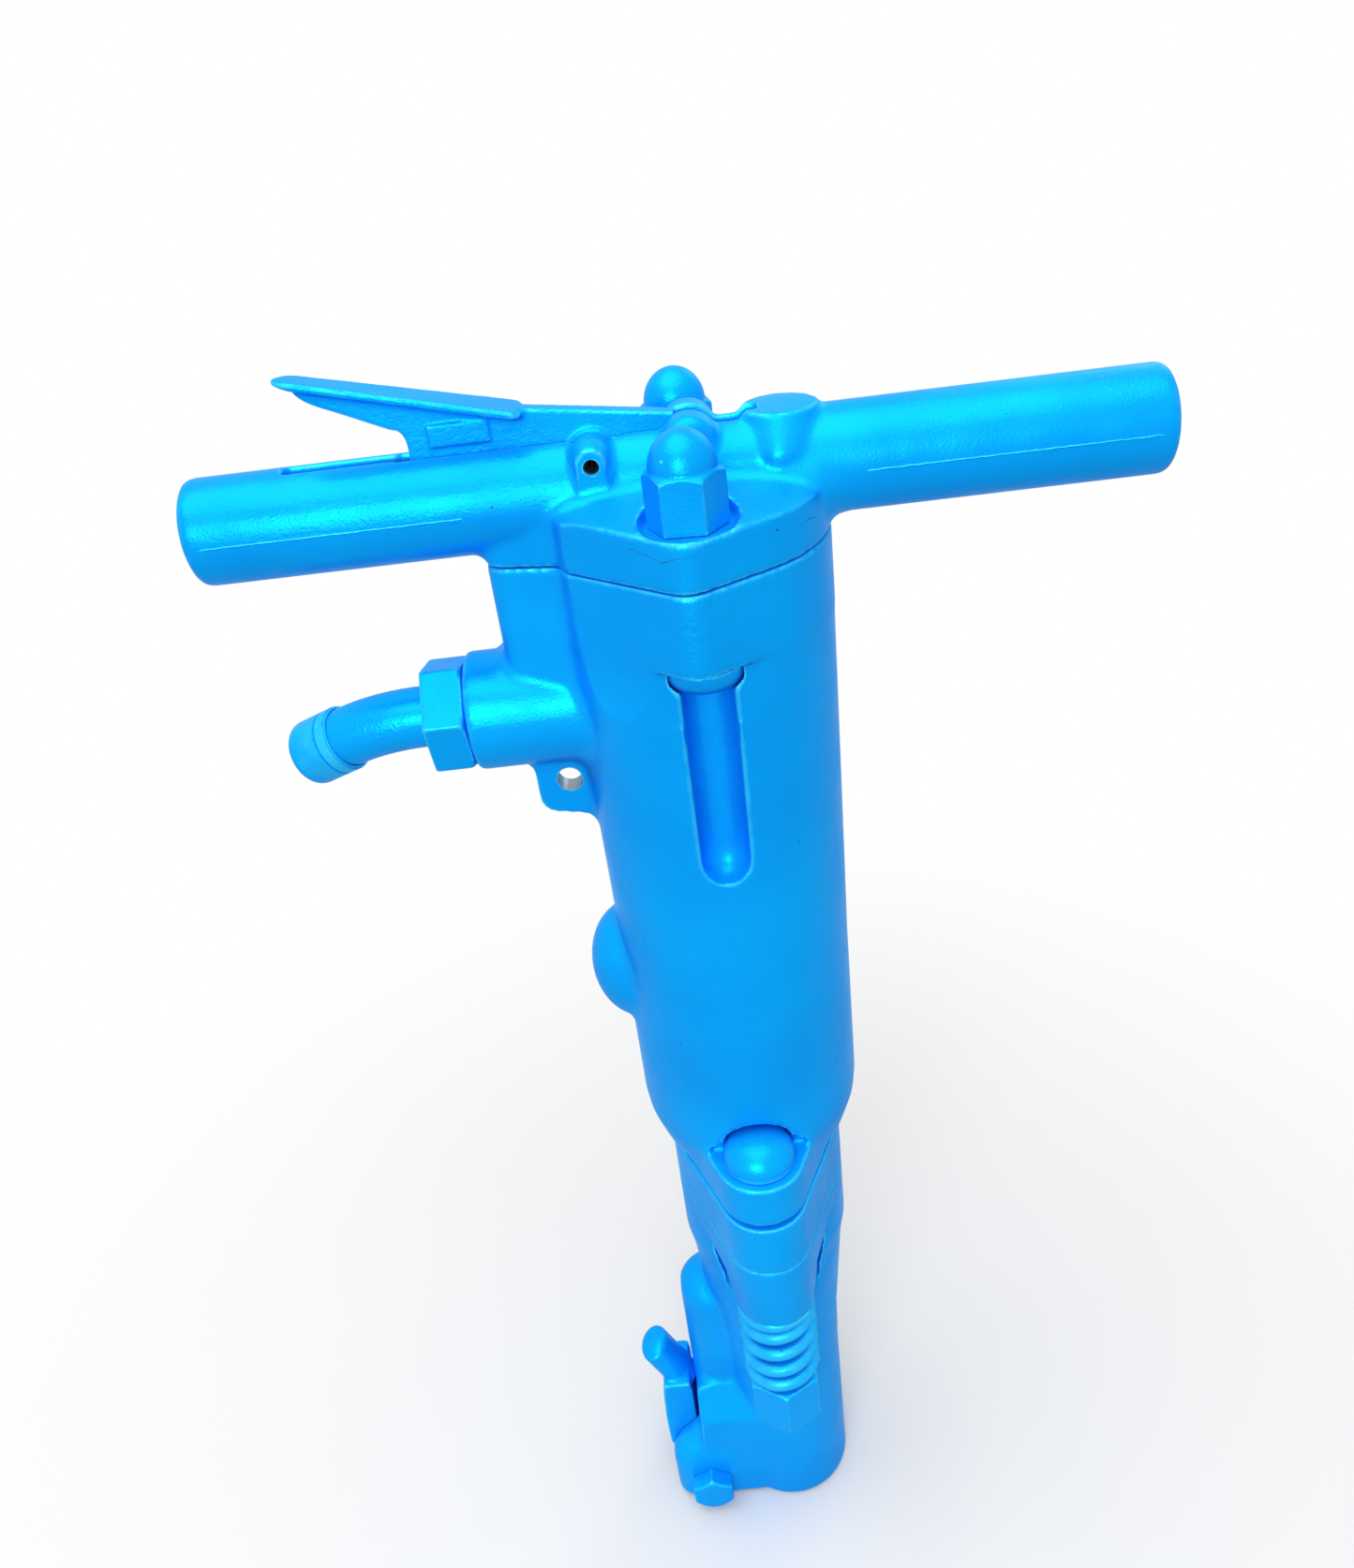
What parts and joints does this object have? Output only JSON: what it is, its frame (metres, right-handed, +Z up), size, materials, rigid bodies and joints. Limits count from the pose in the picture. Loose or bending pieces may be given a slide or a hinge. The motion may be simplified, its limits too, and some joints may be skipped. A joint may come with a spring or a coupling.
{
  "type": "pneumatic jackhammer",
  "caption": "Handheld pneumatic paving breaker with a T handle, a throttle lever, a sprung fronthead with a hex chuck and a latch that holds the tool steel.",
  "frame": {"origin": "middle of the chuck's lower face, the end that points at the ground", "axes": "+Z up the tool towards the handle bar, X along the handle bar with the throttle lever and the air inlet on the -X side, -Y the side that the picture shows as the front"},
  "size_m": [0.3846, 0.1558, 0.7147],
  "materials": {
    "paint": "gloss",
    "steel": "satin",
    "dark_steel": "satin",
    "bronze": "satin",
    "fibre": "matt"
  },
  "bodies": {
    "housing": {"backhead": "paint", "lever_pin": "dark_steel", "throttle_valve_bushing": "bronze", "throttle_valve_spring": "steel", "cylinder": "paint", "valve_box_lower": "steel", "valve_box_upper": "steel", "anvil_bushing": "bronze", "anvil_block": "paint", "swivel_nut": "paint", "inlet_gasket": "fibre", "backhead_bolt_front": "paint", "backhead_bolt_rear": "paint", "acorn_nut_front": "paint", "acorn_nut_rear": "paint", "fronthead_bolt_front": "paint", "fronthead_bolt_rear": "paint", "fronthead_spring_front": "paint", "fronthead_spring_rear": "paint", "fronthead_nut_front": "paint", "fronthead_nut_rear": "paint"},
    "lever": {"throttle_lever": "paint"},
    "throttle_valve": {"throttle_valve": "steel"},
    "automatic_valve": {"automatic_valve": "dark_steel"},
    "piston": {"piston": "steel"},
    "spud": {"inlet_spud": "paint", "spud_collar": "paint"},
    "fronthead": {"fronthead": "paint", "chuck_bushing": "steel", "latch_bolt": "paint", "latch_nut": "paint", "latch_plunger_spring": "steel"},
    "anvil": {"anvil": "steel"},
    "latch": {"retainer_latch": "paint"},
    "plunger": {"latch_plunger": "steel"}
  },
  "joints": [
    {"name": "lever_press", "type": "hinge", "parent": "housing", "child": "lever", "pos_m": [-0.034, 0, 0.673], "axis": [0, -1, 0], "range_deg": [0, 12.5], "stiffness_Nm_per_rad": 6, "springref_deg": -8.59},
    {"name": "throttle_stroke", "type": "slide", "parent": "housing", "child": "throttle_valve", "axis": [0, 0, -1], "range_m": [0, 0.0071], "deforming": ["throttle_valve_spring"]},
    {"name": "automatic_valve_stroke", "type": "slide", "parent": "housing", "child": "automatic_valve", "axis": [0, 0, 1], "range_m": [0, 0.0027]},
    {"name": "piston_stroke", "type": "slide", "parent": "housing", "child": "piston", "axis": [0, 0, 1], "range_m": [0, 0.14]},
    {"name": "spud_swivel", "type": "hinge", "parent": "housing", "child": "spud", "pos_m": [-0.12, 0, 0.5663], "axis": [1, 0, 0], "continuous": true},
    {"name": "fronthead_stroke", "type": "slide", "parent": "housing", "child": "fronthead", "axis": [0, 0, -1], "range_m": [0, 0.008], "stiffness_N_per_m": 80000, "springref_m": -0.012, "deforming": ["fronthead_spring_front", "fronthead_spring_rear"]},
    {"name": "anvil_stroke", "type": "slide", "parent": "fronthead", "child": "anvil", "axis": [0, 0, 1], "range_m": [0, 0.004]},
    {"name": "latch_swing", "type": "hinge", "parent": "fronthead", "child": "latch", "pos_m": [-0.052, 0, 0.019], "axis": [0, -1, 0], "range_deg": [0, 60], "stiffness_Nm_per_rad": 1.5, "springref_deg": -20.05},
    {"name": "plunger_stroke", "type": "slide", "parent": "fronthead", "child": "plunger", "axis": [0, 0, 1], "range_m": [0, 0.0051], "deforming": ["latch_plunger_spring"]}
  ],
  "couplings": [
    {"joint": "throttle_stroke", "follows": "lever_press", "m_per_rad": 0.032},
    {"joint": "plunger_stroke", "follows": "latch_swing", "m_per_rad": 0.00477}
  ]
}
